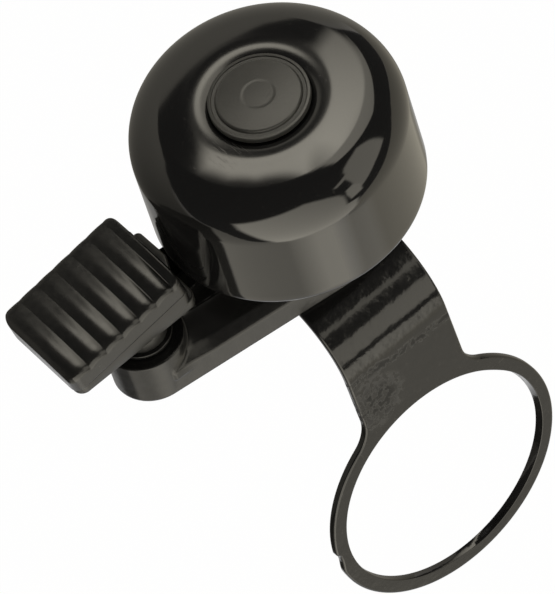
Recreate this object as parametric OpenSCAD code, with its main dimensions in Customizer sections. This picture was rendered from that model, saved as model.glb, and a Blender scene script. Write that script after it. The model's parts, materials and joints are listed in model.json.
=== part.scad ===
// Thumb-lever bicycle bell on a ring bracket for a headset stack.
// Origin at the centre of the ring's bore, +Z along the dome's axis, lever towards -X.

/* [Bracket] */
// Bore of the ring that slips over the steerer tube
ring_bore = 28.6; // [25.4:0.1:31.8]
// Radial width of the ring's band
ring_band = 1.9; // [1.5:0.1:4]
// Thickness of the strip
strip_t = 1; // [0.8:0.1:1.6]
// Width of the neck and of the seat plate
neck_w = 14.8; // [12:0.1:18]
// Sideways shift of the neck from the ring's centre
neck_shift = 0.5; // [-1:0.1:1]
// Fillet between the neck and the ring
neck_fillet = 4.5; // [1:0.5:6]
// Angle that the strip is bent through
bend_angle = 85; // [75:1:90]
// Outer radius of the bend
bend_r = 9.7; // [6:0.1:11]
// Height of the seat plate's upper face above the bore's centre
seat_z = 33.5; // [28:0.1:40]
// Distance of the dome's axis behind the bore's centre
dome_y = 14.7; // [14:0.1:18]
// Width of the locating notch in the ring's edge
notch_w = 1.1; // [0.6:0.1:2]
// Depth of the locating notch
notch_depth = 0.4; // [0.2:0.1:0.8]

/* [Base arm] */
// Height of the arm
arm_t = 6.4; // [5.8:0.1:9]
// Radius of the arm's round end under the dome
arm_r = 8.1; // [7:0.1:10]
// Radius of the pivot boss
boss_r = 4.8; // [4.6:0.1:6]
// Distance from the dome's axis to the lever's pivot
pivot_reach = 23.1; // [22.5:0.1:25]
// Radius of the peg that keys the arm to the seat plate
key_r = 1.2; // [0.8:0.1:1.5]
// Distance of the key peg from the dome's axis
key_reach = 5; // [4.8:0.1:5.2]

/* [Dome] */
// Outer diameter of the dome
dome_d = 31.9; // [30:0.1:33]
// Height of the dome from rim to crown
dome_h = 17.7; // [16:0.1:22]
// Wall of the dome
dome_wall = 1.2; // [0.8:0.1:1.6]
// Radius of the shoulder between skirt and crown
shoulder_r = 5.2; // [4:0.1:7]
// Radius of the shallow crown
crown_r = 68; // [40:1:120]
// Radius of the sunk seat for the screw's head
well_r = 4.6; // [4.4:0.1:6]
// Depth of the sunk seat
well_depth = 3.2; // [2.8:0.1:4.2]

/* [Dome fixing] */
// Radius of the post's column
post_r = 2.5; // [2.2:0.1:2.8]
// Radius of the foot flange of the post
foot_r = 4.2; // [3.4:0.1:6]
// Height of the foot flange
foot_h = 1; // [0.6:0.1:1.2]
// Radius of the stud below the foot
stud_r = 2; // [1.5:0.1:2.2]
// Radius of the dome screw's shank
screw_r = 1.5; // [1.2:0.1:1.7]
// Length of the dome screw's shank
screw_len = 9; // [7:0.5:12]
// Radius of the dome screw's head
head_r = 3; // [2.6:0.1:3.3]
// Height of the dome screw's head
head_h = 1.6; // [1.2:0.1:1.8]
// Thickness of the soft washer under the dome
grommet_t = 0.8; // [0.5:0.1:1.5]
// Radius of the soft washer
grommet_r = 4; // [3:0.1:5]
// Thickness of the flat washer under the screw's head
flat_t = 0.4; // [0.3:0.1:0.5]
// Width across the flats of the nut
nut_flats = 7; // [6:0.5:8]
// Height of the nut
nut_h = 3.2; // [2.4:0.1:4]
// Thickness of the lock washer
lock_t = 0.9; // [0.6:0.1:1.4]

/* [Cap] */
// Radius of the cap's raised disc
cap_r = 5; // [4.5:0.05:5.2]
// Radius of the cap's thin flange
cap_flange_r = 5.9; // [5.4:0.1:7]
// Thickness of the flange
cap_flange_t = 0.3; // [0.2:0.05:0.5]
// Height of the raised disc over the flange
cap_rise = 0.35; // [0.2:0.05:0.8]
// Wall of the cap's skirt in the sunk seat
cap_skirt = 0.7; // [0.5:0.1:1]
// Radius of the shallow dimple in the cap
dimple_r = 2.3; // [1.5:0.1:3.5]
// Depth of the dimple
dimple_depth = 0.12; // [0.05:0.01:0.2]

/* [Lever] */
// Radius of the lever's hub
hub_r = 3.1; // [3:0.1:3.4]
// Height of the hub below the lever's plate
hub_h = 1.6; // [1.5:0.1:3]
// Thickness of the lever's plate and of its inner tab
tab_t = 1.85; // [1.6:0.05:2.4]
// Reach of the lever's plate from the pivot towards the dome
plate_reach = 6.7; // [6.5:0.1:7]
// Reach of the inner tab from the pivot
tab_reach = 7.5; // [7.2:0.1:8.5]
// Width of the inner tab
tab_w = 6.6; // [6:0.1:7]
// Offset of the tab's near edge from the pivot
tab_y = 2; // [1:0.1:2.2]
// Height of the wedge over the lever's underside at the pivot
wedge_h = 2.4; // [2.3:0.05:3.2]
// Slope of the pad, rising towards the dome
pad_tilt = 7.6; // [5:0.1:9]
// Set-back of the wedge's outer end under the pad
wedge_back = 0.3; // [0.2:0.1:0.8]

/* [Thumb pad] */
// Length of the pad along its slope
pad_len = 16.7; // [15:0.1:19]
// Width of the pad
pad_w = 12.7; // [11.5:0.1:13]
// Distance from the pivot to the pad's inner end
pad_reach = 5.45; // [5:0.05:5.6]
// Thickness of the pad at the valleys
pad_t = 3; // [2.2:0.05:3.5]
// Height of a rib
rib_h = 0.4; // [0.2:0.05:0.8]
// Share of a rib's height that its valley climbs to the pad's far edge
rib_fade = 0.85; // [0.5:0.05:0.95]
// Spacing of the ribs
rib_pitch = 2.57; // [2.3:0.01:3]
// Distance of the first valley from the inner end
rib_start = 0.95; // [0.8:0.05:2]
// Radius of the pad's corners in plan
pad_corner = 1.2; // [0.5:0.1:2]

/* [Pivot] */
// Radius of the pivot pin
pin_r = 1.25; // [1:0.05:1.35]
// Wall of the bush
bush_wall = 0.45; // [0.3:0.05:0.5]
// Radius of the pin's head
pin_head_r = 2.2; // [1.9:0.1:3]
// Height of the pin's head
pin_head_h = 1; // [0.6:0.1:1.2]
// Radius of the pivot washer
washer_r = 3.6; // [3.4:0.1:4.2]
// Thickness of the pivot washer
washer_t = 0.5; // [0.3:0.1:0.8]
// Thickness of the retaining clip
clip_t = 0.4; // [0.3:0.05:0.5]
// Outer radius of the retaining clip
clip_r = 2.4; // [2:0.1:2.5]
// Wire diameter of the return spring
wire_d = 0.5; // [0.4:0.05:0.55]
// Mean radius of the return spring
coil_r = 2.35; // [2.3:0.05:2.4]
// Pitch of the return spring's turns
coil_pitch = 1; // [0.98:0.01:1.1]

/* [Striker] */
// Thickness of the striker arm
striker_t = 0.5; // [0.3:0.1:0.8]
// Width of the striker arm
striker_w = 3.2; // [2.8:0.1:3.3]
// Radius of the hammer's head
hammer_r = 2.2; // [1.5:0.1:2.5]
// Height of the hammer's head
hammer_h = 4; // [3:0.1:6]
// Height of the hammer's head above the rim
hammer_lift = 1; // [0.5:0.1:3]
// Radius of the hammer's stem
stem_r = 1.1; // [0.9:0.1:1.4]
// Gap from the hammer to the dome at rest
strike_gap = 0.25; // [0.2:0.05:0.5]
// Position of the first rivet from the pivot, towards the dome
rivet_x = 5.8; // [5.5:0.1:6]
// Position of the first rivet from the pivot, sideways
rivet_y = 3.3; // [3.1:0.1:3.5]
// Angle of the rivet row across the tab
rivet_turn = 35; // [30:1:40]
// Spacing of the rivets along the arm
rivet_pitch = 3.2; // [2.8:0.1:3.4]
// Reach of the arm's knee from the pivot
knee_reach = 10.6; // [10.2:0.1:11]
// Radius of a rivet's shank
rivet_r = 0.7; // [0.5:0.05:0.8]
// Radius of a rivet's head
rivet_head_r = 1.2; // [1:0.1:1.4]
// Height of a rivet's head
rivet_head_h = 0.5; // [0.3:0.1:0.6]

/* [Clearances] */
// Gap between pieces that move past each other
move_gap = 0.3; // [0.25:0.05:0.5]
// Radial gap of a running fit
run_gap = 0.05; // [0.03:0.01:0.08]
// Radial gap of a seated fit
seat_gap = 0.02; // [0.01:0.01:0.04]
// Gap between the striker arm and the tab that carries it
leaf_gap = 0.1; // [0.08:0.01:0.2]
// Gap from the lever's tab to the dome's rim above it
rim_gap = 0.5; // [0.4:0.05:1]
// Angle that the striker arm can swing on its rivet, each way
striker_play = 2; // [1:0.5:2]

/* [Hidden] */
$fn = 64;
// Round detail finer than this is drawn in this many steps
arc_steps = 10;
// Length that a cutter stands past the face it cuts
over = 1;
eps = 0.01;

ring_ri = ring_bore / 2;
ring_ro = ring_ri + ring_band;
lean = 90 - bend_angle;
// The bend starts where the leaning leg's front face meets its tangent point
bend_run = bend_r * tan(bend_angle / 2);
bend_steps = 16;
leg_front_y = -strip_t / 2 * cos(lean);
leg_front_z = strip_t / 2 * sin(lean);
fold_y = leg_front_y + (seat_z - leg_front_z) * tan(lean);
flat_y = fold_y + bend_run;
seat_x0 = neck_shift - neck_w / 2;

arm_top = seat_z + arm_t;
pivot_x = -pivot_reach;
arm_lean = asin((arm_r - boss_r) / pivot_reach);

// Stack from the boss up to the lever and the dome's rim
washer_z = arm_top + move_gap;
hub_z = washer_z + washer_t;
lever_z = hub_z + hub_h;
tab_top = lever_z + tab_t;
rim_z = tab_top + rim_gap;
top_z = rim_z + dome_h;

dome_r = dome_d / 2;
crown_cz = top_z - crown_r;
shoulder_cx = dome_r - shoulder_r;
shoulder_cz = crown_cz + sqrt(pow(crown_r - shoulder_r, 2) - pow(shoulder_cx, 2));
crown_turn = asin(shoulder_cx / (crown_r - shoulder_r));
well_z = top_z - well_depth;
well_under = well_z - dome_wall;
function crown_at(r) = crown_cz + sqrt(crown_r * crown_r - r * r);

post_top = well_under - grommet_t;
screw_hole_r = screw_r + run_gap;
screw_tip = well_z + flat_t - screw_len;
nut_top = seat_z - strip_t - lock_t;
nut_z = nut_top - nut_h;
nut_chamfer = nut_h / 8;
stud_tip = nut_z - stud_r / 2;

cap_z = crown_at(well_r);
cap_face = cap_z + cap_flange_t + cap_rise;
cap_skirt_z = well_z + flat_t + head_h / 2;
cap_edge = cap_rise / 2;
cap_roof = cap_z + cap_flange_t / 2;

bush_ri = pin_r + run_gap;
bush_ro = bush_ri + bush_wall;
// Floor of the recess for the clip, under the pad
recess_z = lever_z + wedge_h - (clip_t + 2 * move_gap + (clip_r + move_gap) * tan(pad_tilt) + run_gap);
recess_r = clip_r + move_gap;
clip_z = recess_z + move_gap;
pin_top = clip_z + clip_t + run_gap;
groove_r = pin_r * 0.75;
pin_head_seat = seat_z + pin_head_h + seat_gap;

coil_turns = 3;
coil_steps = 12;
wire_sides = 6;
coil_rise = coil_turns * coil_pitch;
coil_floor = arm_top - coil_rise - wire_d - 2 * move_gap;
coil_z = coil_floor + wire_d / 2 + move_gap / 3;
coil_well_r = coil_r + wire_d / 2 + move_gap;
leg_hole_r = wire_d / 2 + run_gap * 3;
coil_foot = coil_floor - 2 * wire_d;
coil_tip = hub_z + 2 * wire_d;

pad_near = dome_y - hub_r;
plane_z = lever_z + wedge_h;
pad_u1 = pad_reach / cos(pad_tilt);
pad_u0 = pad_u1 - pad_len;
pad_x0 = pivot_x + pad_u0 * cos(pad_tilt);
pad_x1 = pivot_x + pad_reach;
rib_r = (rib_pitch * rib_pitch / 4 + rib_h * rib_h) / (2 * rib_h);
rib_count = ceil((pad_len - rib_start) / rib_pitch) + 1;

// The two pad screws sit on the outer half of the lever
pad_screw_r = 0.8;
pad_screw_head_r = 1.5;
pad_screw_head_h = 0.5;
pad_screw_bite = pad_t * 0.6;
pad_screw_u = pad_u0 + pad_len * 0.3;
pad_screw_spread = pad_w * 0.5;
pad_mid_y = pad_near + pad_w / 2;

// The stop lug hangs beside the bumper, behind the lever's near edge and clear of the rivet heads
lug_r = 0.8;
lug_x = pivot_x + plate_reach - 2 * lug_r;
lug_y = pad_near + 2.5 * lug_r;
bumper_r = 1;
bumper_h = washer_t + move_gap;
bumper_y = lug_y + lug_r + bumper_r + move_gap;
bumper_stem_r = bumper_r * 0.7;
bumper_stem_h = 2;

// The hammer sits where its swing about the pivot meets the dome squarely
inner_r = dome_r - dome_wall;
hammer_d = inner_r - hammer_r - strike_gap;
hammer_turn = acos(hammer_d / pivot_reach);
hammer_pos = [-hammer_d * cos(hammer_turn), dome_y + hammer_d * sin(hammer_turn)];
rivet_a = [pivot_x + rivet_x, dome_y + rivet_y];
rivet_b = rivet_a + rivet_pitch * [-cos(rivet_turn), sin(rivet_turn)];
// The arm keeps behind the tab until its knee is under the dome's rim
knee = [pivot_x + knee_reach, rivet_a[1]];
striker_top = lever_z - leaf_gap;
striker_z = striker_top - striker_t;
rivet_head_top = striker_z - leaf_gap;
rivet_slot_r = rivet_r + rivet_pitch * sin(striker_play) + run_gap;
hammer_pad_r = hammer_r;
hammer_z = rim_z + hammer_lift;
spigot_r = stem_r * 0.75;

// Points of an arc about c, from angle a0 to a1
function arc(c, r, a0, a1, n = arc_steps) =
    [for (i = [0:n]) c + r * [cos(a0 + (a1 - a0) * i / n), sin(a0 + (a1 - a0) * i / n)]];

module at_dome(z = 0) translate([0, dome_y, z]) children();
module at_pivot(z = 0) translate([pivot_x, dome_y, z]) children();
// The pad's own frame: origin on the pivot's axis in the pad's underside, x up the slope
module in_pad() translate([pivot_x, 0, plane_z]) rotate([0, -pad_tilt, 0]) children();

module tube(ro, ri, h) difference() {
    cylinder(r = ro, h = h);
    translate([0, 0, -over]) cylinder(r = ri, h = h + 2 * over);
}

// A rectangle from p to q with round corners
module round_rect(p, q, r) {
    translate([p[0] + r, p[1]]) square([q[0] - p[0] - 2 * r, q[1] - p[1]]);
    translate([p[0], p[1] + r]) square([q[0] - p[0], q[1] - p[1] - 2 * r]);
    for (x = [p[0] + r, q[0] - r], y = [p[1] + r, q[1] - r]) translate([x, y]) circle(r);
}

// Bracket

// Fills one corner between the neck's side and the ring, with a concave arc
module neck_corner(side) {
    edge = side > 0 ? neck_shift + neck_w / 2 : neck_w / 2 - neck_shift;
    cx = edge + neck_fillet;
    cy = sqrt(pow(ring_ro + neck_fillet, 2) - cx * cx);
    share = ring_ro / (ring_ro + neck_fillet);
    scale([side, 1]) difference() {
        polygon([[edge - over, cy], [cx, cy], [cx * share, cy * share], [edge - over, cy * share - over]]);
        translate([cx, cy]) circle(neck_fillet);
    }
}

// Side view of the strip: leg, bend and seat plate, with room past both ends
module strip_profile() {
    along = [sin(lean), cos(lean)];
    across = [cos(lean), -sin(lean)];
    foot = -(ring_ro + over) * along;
    end_y = dome_y + neck_w / 2 + over;
    centre = [flat_y, seat_z - bend_r];
    polygon(concat([foot - strip_t / 2 * across], arc(centre, bend_r, 90 + bend_angle, 90, bend_steps),
        [[end_y, seat_z], [end_y, seat_z - strip_t]],
        arc(centre, bend_r - strip_t, 90, 90 + bend_angle, bend_steps), [foot + strip_t / 2 * across]));
}

module strip() translate([-ring_ro - over, 0, 0]) rotate([90, 0, 90])
    linear_extrude(2 * (ring_ro + over)) strip_profile();

// Outline of the ring and neck, cut square to the leg
module leg_cutter() rotate([-lean, 0, 0]) rotate([90, 0, 0]) translate([0, 0, -bend_r])
    linear_extrude(bend_r + strip_t) difference() {
        union() {
            circle(ring_ro);
            translate([seat_x0, 0]) square([neck_w, seat_z + bend_r]);
            neck_corner(-1);
            neck_corner(1);
        }
        circle(ring_ri);
        translate([-ring_ro - over, -notch_w]) square([over + notch_depth, notch_w]);
    }

// Outline of the seat plate, cut along the dome's axis
module seat_cutter() translate([0, 0, seat_z - 2 * strip_t]) linear_extrude(3 * strip_t) {
    translate([seat_x0, flat_y - bend_r / 2]) square([neck_w, dome_y - flat_y + bend_r / 2]);
    translate([neck_shift, dome_y]) circle(neck_w / 2);
}

module headset_bracket() color("black") difference() {
    intersection() {
        strip();
        union() {
            leg_cutter();
            seat_cutter();
        }
    }
    at_dome(seat_z - strip_t - over) cylinder(r = stud_r + seat_gap, h = strip_t + 2 * over);
    translate([key_reach, dome_y, seat_z - strip_t - over])
        cylinder(r = key_r + seat_gap, h = strip_t + 2 * over);
}

// Base arm

module arm_outline() {
    n = [-sin(arm_lean), cos(arm_lean)];
    m = [n[0], -n[1]];
    c = [0, dome_y];
    p = [pivot_x, dome_y];
    translate(c) circle(arm_r);
    translate(p) circle(boss_r);
    polygon([c + arm_r * n, c + arm_r * m, p + boss_r * m, p + boss_r * n]);
}

module base_arm() color("black") {
    difference() {
        translate([0, 0, seat_z]) linear_extrude(arm_t) arm_outline();
        at_dome(seat_z - over) cylinder(r = stud_r + seat_gap, h = arm_t + 2 * over);
        at_pivot(seat_z - over) cylinder(r = pin_head_r + seat_gap, h = over + pin_head_h + seat_gap);
        at_pivot(seat_z) cylinder(r = pin_r + seat_gap, h = arm_t);
        at_pivot(coil_floor) cylinder(r = coil_well_r, h = arm_top - coil_floor + over);
        at_pivot(coil_foot - seat_gap) translate([coil_r, 0, 0]) cylinder(r = leg_hole_r, h = arm_t);
        translate([lug_x, bumper_y, arm_top - bumper_stem_h])
            cylinder(r = bumper_stem_r + seat_gap, h = bumper_stem_h + over);
    }
    translate([key_reach, dome_y, seat_z - strip_t]) cylinder(r = key_r, h = strip_t + eps);
}

// Dome and its fixing

module dome_post() color("silver") at_dome() difference() {
    union() {
        translate([0, 0, stud_tip]) cylinder(r = stud_r, h = arm_top - stud_tip + eps);
        translate([0, 0, arm_top]) cylinder(r = foot_r, h = foot_h);
        translate([0, 0, arm_top]) cylinder(r = post_r, h = post_top - arm_top);
    }
    translate([0, 0, screw_tip - over]) cylinder(r = screw_r + seat_gap, h = post_top - screw_tip + 2 * over);
}

// A split spring washer
module lock_washer() color("silver") at_dome(nut_top) difference() {
    tube(nut_flats / 2, stud_r + run_gap, lock_t);
    translate([0, -lock_t / 4, -over]) cube([nut_flats, lock_t / 2, lock_t + 2 * over]);
}

module post_nut() color("silver") at_dome(nut_z) difference() {
    intersection() {
        cylinder(r = nut_flats / sqrt(3), h = nut_h, $fn = 6);
        rotate_extrude() polygon([[0, 0], [nut_flats / 2, 0], [nut_flats / sqrt(3), nut_chamfer],
            [nut_flats / sqrt(3), nut_h - nut_chamfer], [nut_flats / 2, nut_h], [0, nut_h]]);
    }
    translate([0, 0, -over]) cylinder(r = stud_r + seat_gap, h = nut_h + 2 * over);
}

module lower_grommet() color("dimgray") at_dome(post_top)
    tube(grommet_r, screw_hole_r, grommet_t);

// Wall section: sunk seat, crown, shoulder, skirt, rounded rim and back up inside
module dome_section() {
    shoulder = [shoulder_cx, shoulder_cz];
    crown = [0, crown_cz];
    crown_in = crown_r - dome_wall;
    skirt_r = well_r + dome_wall;
    polygon(concat(
        [[screw_hole_r, well_z], [well_r, well_z]],
        arc(crown, crown_r, acos(well_r / crown_r), 90 - crown_turn, arc_steps / 2),
        arc(shoulder, shoulder_r, 90 - crown_turn, 0),
        arc([dome_r - dome_wall / 2, rim_z + dome_wall / 2], dome_wall / 2, 0, -180),
        arc(shoulder, shoulder_r - dome_wall, 0, 90 - crown_turn),
        arc(crown, crown_in, 90 - crown_turn, acos(skirt_r / crown_in), arc_steps / 2),
        [[skirt_r, well_under], [screw_hole_r, well_under]]));
}

module dome() color("black") at_dome() rotate_extrude() dome_section();

module upper_washer() color("silver") at_dome(well_z) tube(head_r + flat_t, screw_hole_r, flat_t);

module dome_screw() color("silver") at_dome() difference() {
    union() {
        translate([0, 0, screw_tip]) cylinder(r = screw_r, h = screw_len + eps);
        translate([0, 0, well_z + flat_t]) cylinder(r = head_r, h = head_h);
    }
    // Cross slot
    for (turn = [0, 90]) rotate(turn) translate([-head_r * 0.6, -head_r / 8, well_z + flat_t + head_h * 0.4])
        cube([head_r * 1.2, head_r / 4, head_h]);
}

module dome_cap() color("#2a2a2c") at_dome() {
    rotate_extrude() polygon([[0, cap_roof], [well_r - seat_gap - cap_skirt, cap_roof],
        [well_r - seat_gap - cap_skirt, cap_skirt_z], [well_r - seat_gap, cap_skirt_z],
        [well_r - seat_gap, cap_z], [cap_flange_r, cap_z], [cap_flange_r, cap_z + cap_flange_t],
        [cap_r, cap_z + cap_flange_t], [cap_r, cap_face - cap_edge], [cap_r - cap_edge, cap_face],
        [dimple_r, cap_face], [dimple_r - dimple_depth, cap_face - dimple_depth], [0, cap_face - dimple_depth]]);
}

// Pivot

module pivot_pin() color("silver") at_pivot() rotate_extrude() polygon([
    [0, seat_z], [pin_head_r, seat_z], [pin_head_r, seat_z + pin_head_h], [pin_r, seat_z + pin_head_h],
    [pin_r, clip_z], [groove_r, clip_z], [groove_r, clip_z + clip_t], [pin_r, clip_z + clip_t],
    [pin_r, pin_top], [0, pin_top]]);

module pivot_bush() color("peru") at_pivot(hub_z) tube(bush_ro, bush_ri, recess_z - hub_z);

// The washer turns with the lever, because the spring's leg passes through it
module pivot_washer() color("silver") difference() {
    at_pivot(washer_z) tube(washer_r, bush_ri, washer_t);
    at_pivot(washer_z - over) translate([coil_r, 0, 0]) cylinder(r = leg_hole_r, h = washer_t + 2 * over);
}

module retaining_clip() color("silver") at_pivot(clip_z) difference() {
    tube(clip_r, groove_r + seat_gap, clip_t);
    translate([0, -groove_r, -over]) cube([2 * clip_r, 2 * groove_r, clip_t + 2 * over]);
}

// Return spring: a straight leg down, the turns, and a straight leg up, as rows of [point, radial, tangent]
function coil_point(a) = [coil_r * cos(a), coil_r * sin(a), coil_z + coil_pitch * a / 360];
function coil_out(a) = [cos(a), sin(a), 0];
function coil_along(a) = let (t = [-coil_r * sin(a), coil_r * cos(a), coil_pitch / 360 * 180 / PI]) t / norm(t);
function unit(v) = v / norm(v);
up = [0, 0, 1];
coil_end = 360 * coil_turns;
spring_path = concat(
    [[[coil_r, 0, coil_foot], coil_out(0), up]],
    [[coil_point(0), coil_out(0), unit(up + coil_along(0))]],
    [for (i = [1:coil_turns * coil_steps - 1])
        let (a = 360 * i / coil_steps) [coil_point(a), coil_out(a), coil_along(a)]],
    [[coil_point(coil_end), coil_out(coil_end), unit(up + coil_along(coil_end))]],
    [[[coil_r, 0, coil_tip], coil_out(coil_end), up]]);
spring_points = [for (row = spring_path, k = [0:wire_sides - 1])
    let (a = 360 * k / wire_sides) row[0] + wire_d / 2 * (cos(a) * row[1] + sin(a) * cross(row[2], row[1]))];
spring_rings = len(spring_path);
function ring_vertex(i, k) = i * wire_sides + k % wire_sides;
// The least gap between turns, measured on the points of the path one turn or so apart
spring_gap = min([for (i = [1:spring_rings - 2], j = [i + coil_steps / 2:1:spring_rings - 2])
    norm(spring_path[i][0] - spring_path[j][0])]) - wire_d;
echo(spring_gap = spring_gap);

module return_spring() color("silver") at_pivot() polyhedron(spring_points, concat(
    [[for (k = [0:wire_sides - 1]) ring_vertex(0, k)]],
    [for (i = [0:spring_rings - 2], k = [0:wire_sides - 1])
        [ring_vertex(i, k), ring_vertex(i + 1, k), ring_vertex(i + 1, k + 1)]],
    [for (i = [0:spring_rings - 2], k = [0:wire_sides - 1])
        [ring_vertex(i, k), ring_vertex(i + 1, k + 1), ring_vertex(i, k + 1)]],
    [[for (k = [0:wire_sides - 1]) ring_vertex(spring_rings - 1, wire_sides - 1 - k)]]));

module stop_bumper() color("dimgray") translate([lug_x, bumper_y, 0]) {
    translate([0, 0, arm_top]) cylinder(r = bumper_r, h = bumper_h);
    translate([0, 0, arm_top - bumper_stem_h]) cylinder(r = bumper_stem_r, h = bumper_stem_h + eps);
}

// Lever

module at_pad_screws() for (side = [-1, 1])
    translate([pivot_x + pad_screw_u * cos(pad_tilt), pad_mid_y + side * pad_screw_spread / 2, lever_z]) children();

module wedge_plan() round_rect([pad_x0 + wedge_back, pad_near], [pad_x1, pad_near + pad_w], pad_corner);

module lever_plan() {
    wedge_plan();
    round_rect([pad_x1 - 3 * pad_corner, pad_near], [pivot_x + plate_reach, pad_near + pad_w], pad_corner);
    translate([pivot_x, dome_y + tab_y]) round_rect([0, 0], [tab_reach, tab_w], pad_corner);
}

module lever_arm() color("#1c1c1d") difference() {
    union() {
        at_pivot(hub_z) cylinder(r = hub_r, h = hub_h + eps);
        translate([0, 0, lever_z]) linear_extrude(tab_t) lever_plan();
        translate([0, 0, lever_z]) linear_extrude(wedge_h + pad_reach) wedge_plan();
        translate([lug_x, lug_y, washer_z]) cylinder(r = lug_r, h = lever_z - washer_z + eps);
    }
    in_pad() translate([-2 * pad_len, pad_near - over, 0]) cube([3 * pad_len, pad_w + 2 * over, pad_len]);
    at_pivot(hub_z - over) cylinder(r = bush_ro + seat_gap, h = pad_len);
    at_pivot(recess_z) cylinder(r = recess_r, h = pad_len);
    at_pivot(hub_z - over) translate([coil_r, 0, 0])
        cylinder(r = leg_hole_r, h = coil_tip - hub_z + over + seat_gap);
    at_pad_screws() translate([0, 0, -over]) cylinder(r = pad_screw_r + seat_gap, h = pad_len);
    at_pad_screws() translate([0, 0, -over]) cylinder(r = pad_screw_head_r + seat_gap, h = pad_screw_head_h + over);
    for (p = [rivet_a, rivet_b]) translate([p[0], p[1], lever_z - over])
        cylinder(r = rivet_r + seat_gap, h = tab_t + over);
}

// Ribs run across the pad, each a shallow arc with a sharp valley on both sides
module pad_profile() intersection() {
    translate([pad_u0, 0]) square([pad_len + over, pad_t + rib_h]);
    union() {
        translate([pad_u0, 0]) square([pad_len + over, pad_t]);
        for (i = [0:rib_count - 1])
            translate([pad_u1 - rib_start + rib_pitch / 2 - i * rib_pitch, pad_t + rib_h - rib_r]) circle(rib_r);
    }
}

// Fills the valleys more and more towards the pad's far edge
module pad_fade() translate([pad_u0, pad_near, 0]) rotate([90, 0, 90]) linear_extrude(pad_len + over)
    polygon([[0, pad_t - rib_h], [pad_w, pad_t - rib_h], [pad_w, pad_t + rib_h * rib_fade], [0, pad_t]]);

// The outer end is square to the slope, the inner end upright beside the dome
module thumb_pad() color("#222223") difference() {
    intersection() {
        in_pad() intersection() {
            union() {
                translate([0, pad_near + pad_w, 0]) rotate([90, 0, 0]) linear_extrude(pad_w) pad_profile();
                pad_fade();
            }
            linear_extrude(pad_t + 2 * rib_h)
                round_rect([pad_u0, pad_near], [pad_u1 + pad_len, pad_near + pad_w], pad_corner);
        }
        translate([0, 0, lever_z]) linear_extrude(pad_len)
            round_rect([pad_x0 - pad_len, pad_near], [pad_x1, pad_near + pad_w], pad_corner);
    }
    at_pad_screws() cylinder(r = pad_screw_r + seat_gap, h = pad_screw_top() - lever_z + seat_gap);
}

function pad_screw_top() = plane_z + pad_screw_u * sin(pad_tilt) + pad_screw_bite;

module pad_screws() color("silver") at_pad_screws() {
    cylinder(r = pad_screw_head_r, h = pad_screw_head_h);
    cylinder(r = pad_screw_r, h = pad_screw_top() - lever_z);
}

// Striker

// One straight length of the striker arm, round at its start
module striker_leg(p, q) translate(p) rotate(atan2(q[1] - p[1], q[0] - p[0])) {
    circle(striker_w / 2);
    translate([0, -striker_w / 2]) square([norm(q - p), striker_w]);
}

module striker_arm() color("silver") difference() {
    translate([0, 0, striker_z]) linear_extrude(striker_t) {
        striker_leg(rivet_b, rivet_a);
        striker_leg(rivet_a, knee);
        striker_leg(knee, hammer_pos);
        translate(hammer_pos) circle(hammer_pad_r);
    }
    translate([rivet_a[0], rivet_a[1], striker_z - over]) cylinder(r = rivet_r + run_gap, h = striker_t + 2 * over);
    translate([rivet_b[0], rivet_b[1], striker_z - over]) cylinder(r = rivet_slot_r, h = striker_t + 2 * over);
    translate([hammer_pos[0], hammer_pos[1], striker_z - over])
        cylinder(r = spigot_r + seat_gap, h = striker_t + 2 * over);
}

module striker_rivets() color("silver") for (p = [rivet_a, rivet_b]) translate([p[0], p[1], 0]) {
    translate([0, 0, rivet_head_top]) cylinder(r = rivet_r, h = tab_top - rivet_head_top - rivet_head_h);
    translate([0, 0, rivet_head_top - rivet_head_h]) cylinder(r = rivet_head_r, h = rivet_head_h);
}

module hammer() color("goldenrod") translate([hammer_pos[0], hammer_pos[1], 0]) {
    bevel = hammer_r / 4;
    rotate_extrude() polygon([[0, striker_z], [spigot_r, striker_z], [spigot_r, striker_top], [stem_r, striker_top],
        [stem_r, hammer_z], [hammer_r - bevel, hammer_z], [hammer_r, hammer_z + bevel],
        [hammer_r, hammer_z + hammer_h - bevel], [hammer_r - bevel, hammer_z + hammer_h], [0, hammer_z + hammer_h]]);
}

headset_bracket();
base_arm();
dome_post();
lock_washer();
post_nut();
lower_grommet();
dome();
upper_washer();
dome_screw();
dome_cap();
pivot_pin();
pivot_bush();
pivot_washer();
retaining_clip();
return_spring();
stop_bumper();
lever_arm();
thumb_pad();
pad_screws();
striker_arm();
striker_rivets();
hammer();
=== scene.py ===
"""Looks of a thumb-lever bicycle bell: dome, matt cap, ribbed thumb pad, teardrop arm and ring bracket.

Shapes are worked out in millimetres in the frame of the solids, and piece() turns them into metres.
"""

import json

import bmesh
import bpy
import numpy as np
from mathutils import Matrix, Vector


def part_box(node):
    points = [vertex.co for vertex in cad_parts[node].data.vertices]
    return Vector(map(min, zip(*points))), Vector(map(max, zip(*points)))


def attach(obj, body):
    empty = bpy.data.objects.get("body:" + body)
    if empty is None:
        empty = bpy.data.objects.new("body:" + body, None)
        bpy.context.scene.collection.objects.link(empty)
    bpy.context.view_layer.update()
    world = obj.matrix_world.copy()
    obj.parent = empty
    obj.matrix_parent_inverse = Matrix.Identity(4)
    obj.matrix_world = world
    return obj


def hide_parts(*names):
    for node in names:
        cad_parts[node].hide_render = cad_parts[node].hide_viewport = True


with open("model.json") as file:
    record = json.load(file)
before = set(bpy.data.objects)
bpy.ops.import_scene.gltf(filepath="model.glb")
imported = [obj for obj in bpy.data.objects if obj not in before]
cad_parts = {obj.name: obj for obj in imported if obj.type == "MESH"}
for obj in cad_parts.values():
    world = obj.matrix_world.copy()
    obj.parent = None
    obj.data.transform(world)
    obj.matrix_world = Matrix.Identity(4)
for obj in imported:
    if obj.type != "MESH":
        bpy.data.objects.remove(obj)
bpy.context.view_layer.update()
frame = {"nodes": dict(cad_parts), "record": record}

MM = 0.001

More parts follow.
